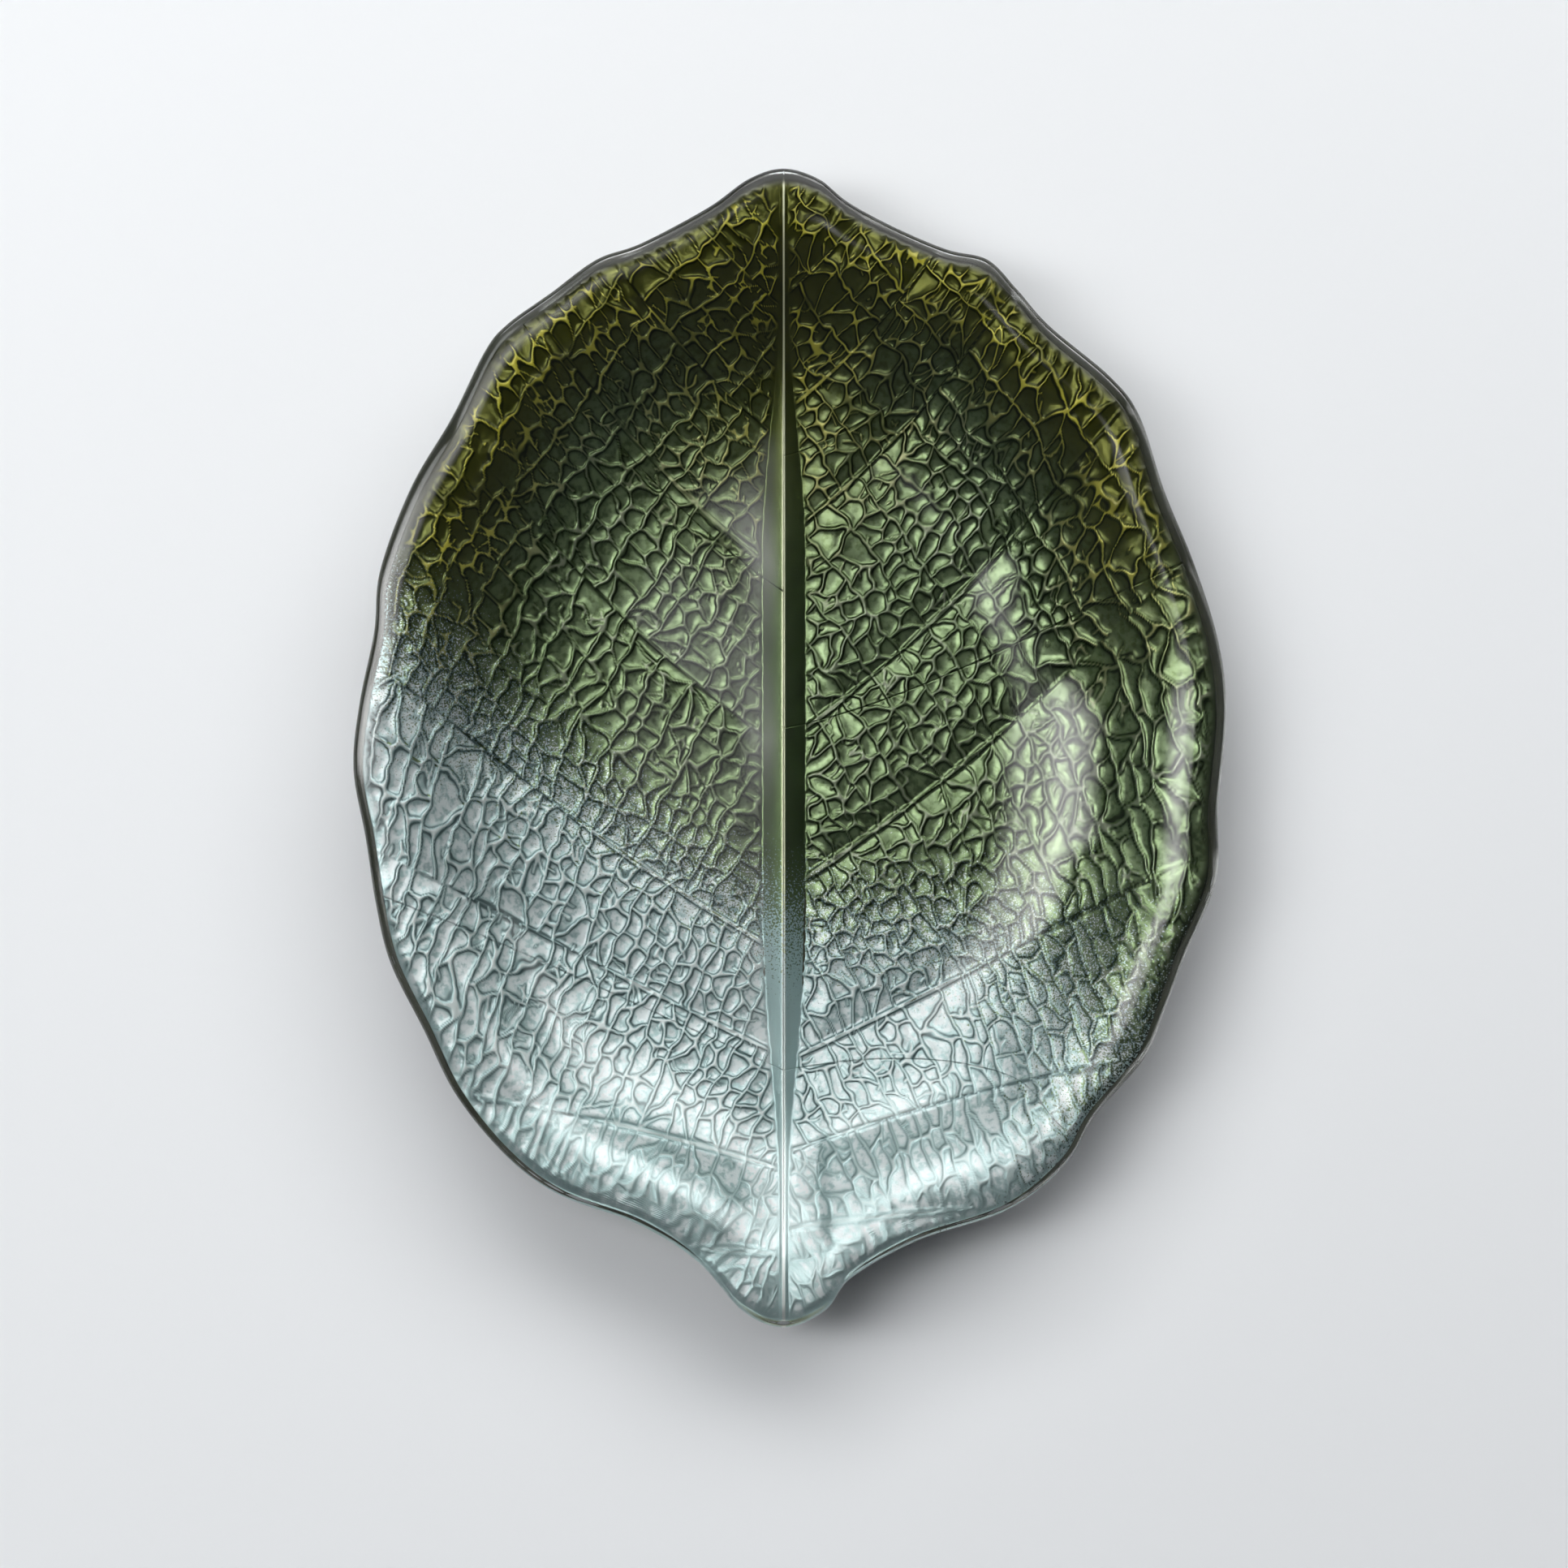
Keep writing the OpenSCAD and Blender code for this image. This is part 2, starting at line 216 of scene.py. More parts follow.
class Cells:
    """Irregular cells round seeds that are shaken off a lattice of staggered rows, with a share of
    its places empty. A cell only meets cells of its own family, so meshes end on the rungs and the
    side veins, and twigs end on the meshes."""

    def __init__(self, pitch, shake, empty, family):
        self.pitch = pitch
        self.places = (NET_SIZE / pitch).astype(int) + 2
        grid = np.stack(np.meshgrid(*map(np.arange, self.places), indexing="ij"), axis=-1)
        shaken = grid + 0.5 + shake * (chance.random(grid.shape) - 0.5)
        shaken[::2, :, 1] += 0.5
        self.seed = (shaken * pitch).reshape(-1, 2)
        self.mood = chance.random((len(self.seed), 3)) - 0.5
        self.family = np.where(self.mood[:, 0] < empty - 0.5, -1, family(self.seed))

    def near(self, p, reach):
        """Numbers of the seeds at each lattice step round the points p."""
        base = np.floor(p / self.pitch).astype(int)
        for i in range(-reach[0], reach[0] + 1):
            for j in range(-reach[1], reach[1] + 1):
                step = np.clip(base + (i, j), 0, self.places - 1)
                yield step[:, 0] * self.places[1] + step[:, 1]

    def own(self, p, family, reach):
        """The nearest seed of the point's family."""
        best, found = np.full(len(p), np.inf), np.full(len(p), -1)
        for k in self.near(p, reach):
            gap = np.where(self.family[k] == family, ((p - self.seed[k]) ** 2).sum(axis=1), np.inf)
            closer = gap < best
            best, found = np.where(closer, gap, best), np.where(closer, k, found)
        return found

    def border(self, p, family, own, reach, least=-1.0):
        """Distance to the cell's border: a soft least of the distances to the halfway lines to other
        seeds, which rounds the corners. Borders between seeds whose moods add up to less than least
        are open, and their distance comes second."""
        edge, opening, home = np.full(len(p), 1e-12), np.full(len(p), FAR), self.seed[own]
        for k in self.near(p, reach):
            away = self.seed[k] - home
            length = np.sqrt((away**2).sum(axis=1))
            gap = (((self.seed[k] + home) / 2 - p) * away).sum(axis=1) / np.maximum(length, 1e-9)
            gap = np.where((self.family[k] == family) & (k != own) & (own >= 0), gap, FAR)
            shut = self.mood[k, 2] + self.mood[own, 2] >= least
            edge = edge + np.where(shut, np.exp(-gap / CORNER), 0)
            opening = np.where(shut, opening, np.minimum(opening, gap))
        return -CORNER * np.log(edge), opening


def rung_cell(place, strip):
    """Number of the cell between two rungs of a strip."""
    return strip * 1000 + np.floor(place[:, 0] / RUNG).astype(int)


def seed_rung(seed):
    """Rung cell that a seed lies in, read back from its place in the net's frame."""
    right = seed[:, 0] > SIDE_SHIFT
    v = (seed[:, 1] - NET_CENTRE) / (HALF_LENGTH * math.cos(VEIN_ANGLE))
    return rung_cell(seed, strip_of(v, right))


REACH = (2, 2)
meshes = Cells(MESH, shake=0.55, empty=0.2, family=seed_rung)
twigs = Cells(TWIG, shake=0.8, empty=0.0, family=lambda seed: meshes.own(seed, seed_rung(seed), REACH))

MIDRIB_HALF, MIDRIB_DEPTH, CREST_HALF = 4.8, 2.0, 0.36
# Stretches of feet in which the midrib narrows toward the tip and the stem, what is left of its roof
# there, and what its crest loses at the tip
TIP_STRETCH, STEM_STRETCH, ROOF_LEFT, CREST_LOSS = (0.3, 0.8), (-0.3, -0.8), 0.16, 0.4
BULGE, BULGE_REACH, BULGE_START = 0.9, 10.0, 8.0
# How far the side veins' lines wander and the size of that noise, and how much they thin out on
# their way to the rim
WANDER, WANDER_SIZE, VEIN_TAPER, TAPER_RUN = 0.9, 12.0, 0.5, (20, 95)
# Width of the plain border inside the rim at the stem, what the rest of the leaf adds to it, and
# the ease into the relief there and beside the midrib
BORDER, BORDER_GROWTH, BORDER_EASE, MIDRIB_EASE = 1.5, 1.2, 3.0, 1.6
# Height of each kind of vein, half the width of its flat crest, and the reach of its flanks
VEIN_FORM, RUNG_FORM = (0.45, 0.14, 1.2), (0.2, 0.07, 0.6)
MESH_FORM, TWIG_FORM = (0.17, 0.04, 0.5), (0.12, 0.02, 0.45)
TWIG_MOOD, TWIG_END = 0.3, 0.7
# Width of a painted highlight line's soft edge and of the painted shade at the foot beside it, and the
# height of vein from which that painted shade is fully dark
HIGHLIGHT_EDGE, FOOT_SHADE_WIDTH, FOOT_SHADE_HEIGHT = 0.3, 0.45, 0.17
# A mesh's dish: its depth in the well, what the wall adds, and its reach from the veins
DISH, WALL_DISH, DISH_REACH = 0.28, 0.3, 2.2
TILT, WRINKLE, WRINKLE_SIZE = 0.06, 0.045, 1.9
STEM_CALM = 0.65


def vein_gap(x, y, v):
    """Distance to the nearest side vein, whose line wanders a little."""
    feet = np.where((x > MIDRIB_X)[:, None], VEIN_FEET[None, :, 1], VEIN_FEET[None, :, 0])
    gap = np.abs(v[:, None] - feet).min(axis=1) * HALF_LENGTH * math.cos(VEIN_ANGLE)
    return np.abs(gap + WANDER * (cloud(x + 50, y + 700, WANDER_SIZE) - 0.5))


def midrib(v):
    """Half the width of the midrib's flat crest and of its whole roof, which is widest half way up the
    leaf and narrow at both ends."""
    tip, stem = smooth(v, *TIP_STRETCH), smooth(v, *STEM_STRETCH)
    roof = ROOF_LEFT + (1 - ROOF_LEFT) * (1 - tip) * (1 - stem)
    return CREST_HALF * (1 - CREST_LOSS * tip), MIDRIB_HALF * roof


def spine(x, v):
    """1 on the midrib's crest and 0 beside it: where the lacquers paint a highlight line."""
    crest, _ = midrib(v)
    return 1 - smooth(np.abs(x - MIDRIB_X), 0.6 * crest, 1.5 * crest)


def rim_gap(x, y):
    """Distance in from the rim."""
    return (1 - share(x, y)) * edge_at(np.arctan2(y, x))


def bulge(x, y, v):
    """0 on a side vein, rising as a parabola to 1 at the bulge's reach, as the blade swells between
    its veins."""
    return 1 - np.clip(1 - vein_gap(x, y, v) / BULGE_REACH, 0, 1) ** 2


def broad_relief(x, y):
    """Height of the underside's large forms over its well and wall: a roof along the midrib and a
    blade that swells between the side veins. Also two shares: 1 off the midrib, 1 off the rim."""
    v, run = foot_of(x, y), np.abs(x - MIDRIB_X)
    border = BORDER + BORDER_GROWTH * smooth(v, -0.6, -0.2)
    clear = smooth(rim_gap(x, y), border, border + BORDER_EASE)
    crest, band = midrib(v)
    roof = np.clip(1 - np.maximum(run - crest, 0) / band, 0, 1)
    off_band = smooth(run, band, band + MIDRIB_EASE)
    height = MIDRIB_DEPTH * band / MIDRIB_HALF * roof * (1.25 - 0.25 * roof)
    height = height + BULGE * bulge(x, y, v) * smooth(run, band, band + BULGE_START)
    return height * clear, off_band, clear


def fine_relief(x, y):
    """Height of the pressed net over the broad forms, its marking, which is 1 on a vein's crest and
    -1 at the foot of its flanks, and a share that is 1 in the heart of a mesh. The lacquers paint a
    highlight line where the marking is near 1, painted shade where it falls below 0, and a painted
    highlight in the hearts. Each vein has a narrow flat crest with steep flanks, and each mesh is a
    shallow tilted dish. Height and marking are less near the stem."""
    v, run, right = foot_of(x, y), np.abs(x - MIDRIB_X), x > MIDRIB_X
    place = np.stack(net_place(x, y, v), axis=-1)
    rung = rung_cell(place, strip_of(v, right))
    rung_gap = np.abs((place[:, 0] / RUNG + 0.5) % 1 - 0.5) * RUNG
    mesh = meshes.own(place, rung, REACH)
    mesh_gap, _ = meshes.border(place, rung, mesh, REACH)
    twig = twigs.own(place, mesh, REACH)
    twig_gap, twig_end = twigs.border(place, mesh, twig, REACH, TWIG_MOOD)
    twig_gap = twig_gap + TWIG_END * (1 - smooth(twig_end, 0, TWIG_END))
    cell_gap = -CORNER * np.log(np.exp(-rung_gap / CORNER) + np.exp(-mesh_gap / CORNER))
    side_gap = vein_gap(x, y, v) + VEIN_TAPER * smooth(run, *TAPER_RUN)
    crests, lines, feet = [], [], []
    for gap, (depth, half, reach) in ((side_gap, VEIN_FORM), (rung_gap, RUNG_FORM),
                                      (mesh_gap, MESH_FORM), (twig_gap, TWIG_FORM)):
        crests.append(depth * (1 - smooth(gap, half, reach)))
        edge = half + HIGHLIGHT_EDGE
        lines.append(1 - smooth(gap, half, edge))
        feet.append(min(depth / FOOT_SHADE_HEIGHT, 1) * (1 - smooth(gap, edge, edge + FOOT_SHADE_WIDTH)))
    line = np.maximum.reduce(lines)
    marking = line - (1 - line) * np.maximum.reduce(feet)
    steep = smooth(share(x, y), 0.5, 0.85) * smooth(v, -0.75, -0.2)
    calm = 1 - STEM_CALM * smooth(v, -0.55, -0.9)
    dish = (DISH + WALL_DISH * steep) * np.clip(1 - cell_gap / DISH_REACH, 0, 1) ** 2
    mood = meshes.mood[mesh] * (mesh >= 0)[:, None]
    tilt = TILT * ((place - meshes.seed[mesh]) * mood[:, :2]).sum(axis=1)
    wrinkle = WRINKLE * cloud(place[:, 0] + 40 * mood[:, 2], place[:, 1], WRINKLE_SIZE)
    _, off_band, clear = broad_relief(x, y)
    height = np.maximum.reduce(crests) + dish + (tilt + wrinkle) * smooth(cell_gap, 0.1, 0.9)
    height = np.maximum(off_band * calm * height, -0.1)
    heart = smooth(np.minimum.reduce([side_gap, cell_gap, twig_gap]), 0.4, 1.1)
    return height * clear, off_band * calm * marking * clear, off_band * heart * clear


def under(x, y, drop):
    """Points of the underside without its net, moved down by drop."""
    return np.stack([x, y, COATS + climb(share(x, y)) + broad_relief(x, y)[0] - drop], axis=-1)


def netted(x, y, drop, depth=1.0, limits=(-np.inf, np.inf)):
    """Points of the underside with its net, to a share of its depth and inside limits of its height,
    and the net's two markings."""
    fine, ridge, heart = fine_relief(x, y)
    lift = depth * fine.clip(*limits)
    return under(x, y, drop) + np.stack([0 * x, 0 * x, lift], axis=-1), ridge, heart


def put_mesh(name, points, smooth_faces, flat_faces=(), values=None):
    """A mesh object from points in millimetres, arrays of smooth and flat faces and the values of
    its named point attributes."""
    faces = list(smooth_faces) + list(flat_faces)
    sides = np.concatenate([np.full(len(f), f.shape[1]) for f in faces])
    corners = np.concatenate([f.ravel() for f in faces])
    soft = np.arange(len(sides)) < sum(len(f) for f in smooth_faces)
    mesh = bpy.data.meshes.new(name)
    mesh.vertices.add(len(points))
    mesh.vertices.foreach_set("co", (points * MM).astype(np.float32).ravel())
    mesh.loops.add(len(corners))
    mesh.loops.foreach_set("vertex_index", corners.astype(np.int32))
    mesh.polygons.add(len(sides))
    mesh.polygons.foreach_set("loop_start", (np.cumsum(sides) - sides).astype(np.int32))
    mesh.polygons.foreach_set("use_smooth", soft)
    for key, value in (values or {}).items():
        column = mesh.attributes.new(key, "FLOAT", "POINT")
        column.data.foreach_set("value", value.ravel().astype(np.float32))
    mesh.update(calc_edges=True)
    piece = bpy.data.objects.new(name, mesh)
    bpy.context.scene.collection.objects.link(piece)
    return piece


GLASS_SEAT = 0.08
TOP_RINGS, NOSE_RINGS, UNDER_RINGS, RIM_STRIDE = 136, 9, 50, 4
VEIN_DIP, DIP_REACH = 0.3, 7.0
CREASE, RIDGE_ROUND = 1.8, 3.5


def top(x, y):
    """Points of the smooth top: the dish, with a low roof over the midrib and a dip over each vein."""
    s, run = share(x, y), np.abs(x - MIDRIB_X)
    gap = vein_gap(x, y, foot_of(x, y))
    roof = ROOF * np.exp((RIDGE_ROUND - np.hypot(run, RIDGE_ROUND)) / ROOF_REACH)
    roof = roof - VEIN_DIP * np.exp((CREASE - np.hypot(gap, CREASE)) / DIP_REACH) * smooth(run, 0, 12)
    roof = roof * (1 - smooth(s, 0.8, CREST)) ** 2
    return np.stack([x, y, COATS + GLASS_WALL + climb(s) + roof], axis=-1)


def glass_body():
    """Profile carried round the outline: out over the smooth top from the midrib's middle, round
    the rim's edge in a half ellipse, and back along the underside, which is set into the coats."""
    edge = rim[::-RIM_STRIDE]
    radius = np.hypot(edge[:, 0], edge[:, 1])[:, None]
    way = edge / radius
    inset = edge - EDGE_ROUND * way
    middle = np.array([MIDRIB_X, 0.0])
    out = np.linspace(0, 1, TOP_RINGS + 1)[1:, None, None]
    back = np.linspace(1, 0, UNDER_RINGS + 1)[:-1, None, None] ** 1.2
    upper, lower = (middle + part * (inset - middle) for part in (out, back))
    upper = top(*upper.reshape(-1, 2).T).reshape(upper.shape[:2] + (3,))
    lower = under(*lower.reshape(-1, 2).T, GLASS_SEAT).reshape(lower.shape[:2] + (3,))
    turn = np.linspace(np.pi / 2, -np.pi / 2, NOSE_RINGS + 2)[1:-1, None]
    half = (upper[-1, :, 2] - lower[0, :, 2]) / 2
    height = lower[0, :, 2] + half + half * np.sin(turn)
    nose = inset + EDGE_ROUND * np.cos(turn)[..., None] * way
    nose = np.concatenate([nose, height[..., None]], axis=-1)
    body = np.concatenate([upper, nose, lower])
    hearts = [top(*middle[:, None]), under(*middle[:, None], GLASS_SEAT)]
    number = np.arange(body[..., 0].size).reshape(len(body), -1)
    after = np.roll(number, -1, axis=1)
    quads = np.stack([number[:-1], number[1:], after[1:], after[:-1]], axis=-1).reshape(-1, 4)
    heart = np.full(number.shape[1], number.size)
    caps = np.concatenate([np.stack([heart, number[0], after[0]], axis=-1),
                           np.stack([heart + 1, after[-1], number[-1]], axis=-1)])
    return np.concatenate([body.reshape(-1, 3), *hearts]), [quads, caps]


glass = put_mesh("glass_plate_body", *glass_body())


def new_material(name):
    """A node material, with its node tree and Principled shader."""
    material = bpy.data.materials.new(name)
    material.use_nodes = True
    return material, material.node_tree, material.node_tree.nodes["Principled BSDF"]


def add(tree, kind, *links, **sockets):
    """A node of that kind with the named sockets set, and each link (output, socket) made."""
    node = tree.nodes.new(kind)
    for key, value in sockets.items():
        node.inputs[key.replace("_", " ")].default_value = value
    for output, socket in links:
        tree.links.new(output, node.inputs[socket])
    return node


clear_glass, tree, shader = new_material("clear_glass")
glass.data.materials.append(clear_glass)
shader.inputs["Base Color"].default_value = (0.965, 0.985, 0.975, 1)
shader.inputs["Transmission Weight"].default_value = 1.0
shader.inputs["IOR"].default_value = 1.5
shader.inputs["Roughness"].default_value = 0.045
place = tree.nodes.new("ShaderNodeTexCoord")
ripple = add(tree, "ShaderNodeTexNoise", (place.outputs["Object"], "Vector"), Scale=55.0, Detail=1.0)
bump = add(tree, "ShaderNodeBump", (ripple.outputs["Fac"], "Height"), Strength=0.05, Distance=0.001)
tree.links.new(bump.outputs["Normal"], shader.inputs["Normal"])
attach(glass, "root")
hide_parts("glass_plate")

# Silver coat
# Teal-silver metallic lacquer sprayed on the back of the stem half before the green. It ends in a
# cloud of droplets: along a side vein on the left, and nearer the stem toward the right rim.

FADE_LEFT, FADE_MID, FADE_RIGHT = -0.32, -0.29, -0.72
FADE_REACH = 0.15
SILVER_FACE, SILVER_BACK = 0.18, 0.06
COAT_ROWS, COAT_COLUMNS, COAT_STEP = 220, 344, 8


def fade_foot(q):
    """Foot of the vein line where half of the silver is gone, for a share across the leaf."""
    return FADE_MID + np.where(q < 0, (FADE_MID - FADE_LEFT) * q, (FADE_RIGHT - FADE_MID) * q)


SIDES = {"left": (-0.99, 0), "right": (0, 0.99)}


def film(name, rows, columns, step, side, low, high, face, back, down=False):
    """A closed film over a stretch across the leaf, between two lines of feet: a profile that
    crosses in fine steps on its face and returns in coarse ones on its back, carried up the leaf in
    rows. face gives the points and the net's markings at x and y, and back the points. Narrow strips
    close the ends. Each point carries the markings, its foot, how far that is past the fade of the
    silver, its distance in from the rim, and its share of the midrib's crest."""
    start, end = side
    forth, home = np.linspace(start, end, columns + 1), np.linspace(end, start, columns // step + 1)
    q = np.concatenate([forth, home])
    feet = low(q) + np.linspace(0, 1, rows + 1)[:, None] * (high(q) - low(q))
    q = np.broadcast_to(q, feet.shape)
    x, y = leaf_point(feet, q)
    front = np.arange(q.shape[1]) <= columns
    points, marks = np.empty(feet.shape + (3,)), np.zeros((2,) + feet.shape)
    seen, *marked = face(x[:, front].ravel(), y[:, front].ravel())
    points[:, front] = seen.reshape(rows + 1, -1, 3)
    marks[:, :, front] = np.reshape(marked, (2, rows + 1, -1))
    points[:, ~front] = back(x[:, ~front].ravel(), y[:, ~front].ravel()).reshape(rows + 1, -1, 3)
    number = np.arange(feet.size).reshape(feet.shape)
    after = np.roll(number, -1, axis=1)
    quads = np.stack([number[:-1], after[:-1], after[1:], number[1:]], axis=-1)
    walls = np.isin(np.arange(q.shape[1]), (columns, q.shape[1] - 1))
    k = np.arange(columns // step)[:, None]
    strip = np.hstack([k * step + np.arange(step + 1), q.shape[1] - 2 - k + [[0, 1]]])
    ends = np.concatenate([number[0][strip][:, ::-1], number[-1][strip]])
    faces = [quads[:, ~walls].reshape(-1, 4)], [quads[:, walls].reshape(-1, 4), ends]
    if down:
        faces = [[f[:, ::-1] for f in part] for part in faces]
    values = {"ridge": marks[0], "heart": marks[1], "foot": feet, "fade": feet - fade_foot(q),
              "rim": rim_gap(x, y), "spine": spine(x, feet)}
    return put_mesh(name, points.reshape(-1, 3), *faces, values)


def lowest(q):
    """Foot of the stem end, all across."""
    return np.full(q.shape, FOOT_LOW)


def highest(q):
    """Foot of the tip end, all across."""
    return np.full(q.shape, FOOT_HIGH)


def coat(name, low, high, parts, lift, back):
    """The films of one colour: each side is cut into parts along its vein lines, to keep every mesh
    small. The face follows the pressed net."""
    films = []
    for side, cuts in parts.items():
        for k in range(cuts):
            films.append(film(
                f"{name}_{side}_{k + 1}", COAT_ROWS, COAT_COLUMNS, COAT_STEP, SIDES[side],
                lambda q: low(q) + (high(q) - low(q)) * k / cuts,
                lambda q: low(q) + (high(q) - low(q)) * (k + 1) / cuts,
                lambda x, y: netted(x, y, -lift), lambda x, y: under(x, y, back)))
    return films


silver = coat("silver_coat", lowest, lambda q: fade_foot(q) + FADE_REACH, {"left": 2, "right": 2},
              SILVER_FACE, SILVER_BACK)


def value_of(tree, name):
    """Output of a named point attribute."""
    node = tree.nodes.new("ShaderNodeAttribute")
    node.attribute_name = name
    return node.outputs["Fac"]


def blend(tree, amount, first, second):
    """Mix of two colours, each an output or a plain colour, by an output."""
    node = tree.nodes.new("ShaderNodeMix")
    node.data_type = "RGBA"
    tree.links.new(amount, node.inputs[0])
    for socket, colour in ((node.inputs[6], first), (node.inputs[7], second)):
        if isinstance(colour, tuple):
            socket.default_value = colour + (1,)
        else:
            tree.links.new(colour, socket)
    return node.outputs[2]


def count(tree, rule, *terms, clamp=False):
    """Result of a Math node on outputs or plain numbers."""
    node = tree.nodes.new("ShaderNodeMath")
    node.operation, node.use_clamp = rule, clamp
    for socket, term in zip(node.inputs, terms):
        if isinstance(term, (int, float)):
            socket.default_value = term
        else:
            tree.links.new(term, socket)
    return node.outputs[0]


def span(tree, value, low, high):
    """Smooth step of an output from 0 at low to 1 at high."""
    node = tree.nodes.new("ShaderNodeMapRange")
    node.interpolation_type = "SMOOTHSTEP"
    tree.links.new(value, node.inputs["Value"])
    node.inputs["From Min"].default_value, node.inputs["From Max"].default_value = low, high
    return node.outputs["Result"]


def lacquer_net():
    """Shader group that both colours share. From the net's marking and its hearts it gives the shares
    of the painted highlight line on a crest, the painted shade at a vein's foot and the painted
    highlight in a mesh's heart, which streaks break up, and the height of the metal's grain."""
    group = bpy.data.node_groups.new("lacquer_net", "ShaderNodeTree")
    group.interface.new_socket("Place", in_out="INPUT", socket_type="NodeSocketVector")
    for name in ("Ridge", "Heart", "Foot Depth"):
        group.interface.new_socket(name, in_out="INPUT", socket_type="NodeSocketFloat")
    for name in ("Line", "Foot", "Bright", "Grain"):
        group.interface.new_socket(name, in_out="OUTPUT", socket_type="NodeSocketFloat")
    given = group.nodes.new("NodeGroupInput").outputs
    result = group.nodes.new("NodeGroupOutput").inputs
    grain = add(group, "ShaderNodeTexNoise", (given["Place"], "Vector"), Scale=2600.0, Detail=1.0)
    streak = add(group, "ShaderNodeTexNoise", (given["Place"], "Vector"), Scale=620.0, Detail=2.0)
    foot = count(group, "MULTIPLY", span(group, given["Ridge"], -0.1, -0.9), given["Foot Depth"])
    painted_highlight = count(group, "MULTIPLY", given["Heart"], span(group, streak.outputs["Fac"], 0.3, 0.58))
    group.links.new(span(group, given["Ridge"], 0.0, 1.0), result["Line"])
    group.links.new(foot, result["Foot"])
    group.links.new(painted_highlight, result["Bright"])
    group.links.new(grain.outputs["Fac"], result["Grain"])
    return group


def put_net(tree, place, shade_depth):
    """Outputs of the shared group in a material, with how dark the painted shade at its vein feet is.
    """
    node = tree.nodes.new("ShaderNodeGroup")
    node.node_tree = net_group
    tree.links.new(place, node.inputs["Place"])
    tree.links.new(value_of(tree, "ridge"), node.inputs["Ridge"])
    tree.links.new(value_of(tree, "heart"), node.inputs["Heart"])
    node.inputs["Foot Depth"].default_value = shade_depth
    return node.outputs


net_group = lacquer_net()
# Colours of the plain teal lacquer and of the painted highlight in the meshes' hearts, then the painted
# shade at the veins' feet, the painted highlight lines on the crests and the midrib, and the olive rim
# line
SILVER, PALE_SILVER, SILVER_PAINTED_HIGHLIGHT = (0.36, 0.52, 0.52), (0.56, 0.7, 0.7), (0.9, 0.96, 0.97)
SILVER_FOOT_SHADE, SILVER_HIGHLIGHT_LINE = (0.06, 0.1, 0.105), (0.9, 0.95, 0.94)
SILVER_SPINE_HIGHLIGHT, SILVER_RIM = (0.88, 0.92, 0.9), (0.2, 0.19, 0.06)
SILVER_SHADE_DEPTH, SILVER_HIGHLIGHT_SHARE = 0.85, 0.85
# Distance in from the rim over which its olive line appears, metal of the plain lacquer and what a
# painted highlight line or heart takes from it, and how the droplets thin out with the fade
RIM_LINE, SILVER_METAL, PAINTED_HIGHLIGHT_LOSS = (2.2, 1.4), 0.68, -0.35
DROP_LOSS, DROP_EDGE = -1.4, (0.47, 0.56)
silver_lacquer, tree, shader = new_material("silver_lacquer")
place = tree.nodes.new("ShaderNodeTexCoord").outputs["Object"]
net = put_net(tree, place, SILVER_SHADE_DEPTH)
patch = add(tree, "ShaderNodeTexNoise", (place, "Vector"), Scale=26.0, Detail=2.0)
fade, rim_in = value_of(tree, "fade"), value_of(tree, "rim")
body = blend(tree, patch.outputs["Fac"], SILVER, PALE_SILVER)
# Painted highlight in the hearts of the meshes, broken up by streaks
body = blend(tree, net["Bright"], body, SILVER_PAINTED_HIGHLIGHT)
# Painted shade at the foot of each vein's flanks
body = blend(tree, net["Foot"], body, SILVER_FOOT_SHADE)
# Painted highlight lines along the veins' crests
body = blend(tree, count(tree, "MULTIPLY", net["Line"], SILVER_HIGHLIGHT_SHARE), body, SILVER_HIGHLIGHT_LINE)
# Painted highlight line along the midrib's crest
body = blend(tree, value_of(tree, "spine"), body, SILVER_SPINE_HIGHLIGHT)
body = blend(tree, span(tree, rim_in, *RIM_LINE), body, SILVER_RIM)
tree.links.new(body, shader.inputs["Base Color"])
# The painted highlight lines and hearts have less metal and show more of their pale colour
pale = count(tree, "MAXIMUM", net["Line"], net["Bright"])
metal = count(tree, "MULTIPLY_ADD", pale, PAINTED_HIGHLIGHT_LOSS, SILVER_METAL)
tree.links.new(metal, shader.inputs["Metallic"])
shader.inputs["Roughness"].default_value = 0.38
drops = add(tree, "ShaderNodeTexNoise", (place, "Vector"), Scale=2200.0, Detail=2.0, Roughness=0.6)
cover = count(tree, "ADD", drops.outputs["Fac"], count(tree, "MULTIPLY", fade, DROP_LOSS))
tree.links.new(span(tree, cover, *DROP_EDGE), shader.inputs["Alpha"])
bump = add(tree, "ShaderNodeBump", (net["Grain"], "Height"), Strength=0.2, Distance=0.0002)
tree.links.new(bump.outputs["Normal"], shader.inputs["Normal"])
for piece in silver:
    piece.data.materials.append(silver_lacquer)
    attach(piece, "root")
    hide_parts("silver_coat")

# Green coat
# Olive to sage green metallic lacquer, sprayed after the silver: it shows alone over the tip half,
# and between the silver's droplets where the two meet.

GREEN_FACE, GREEN_BACK = 0.15, 0.08
green = coat("green_coat", lambda q: fade_foot(q) - FADE_REACH, highest, {"left": 2, "right": 3},
             GREEN_FACE, GREEN_BACK)
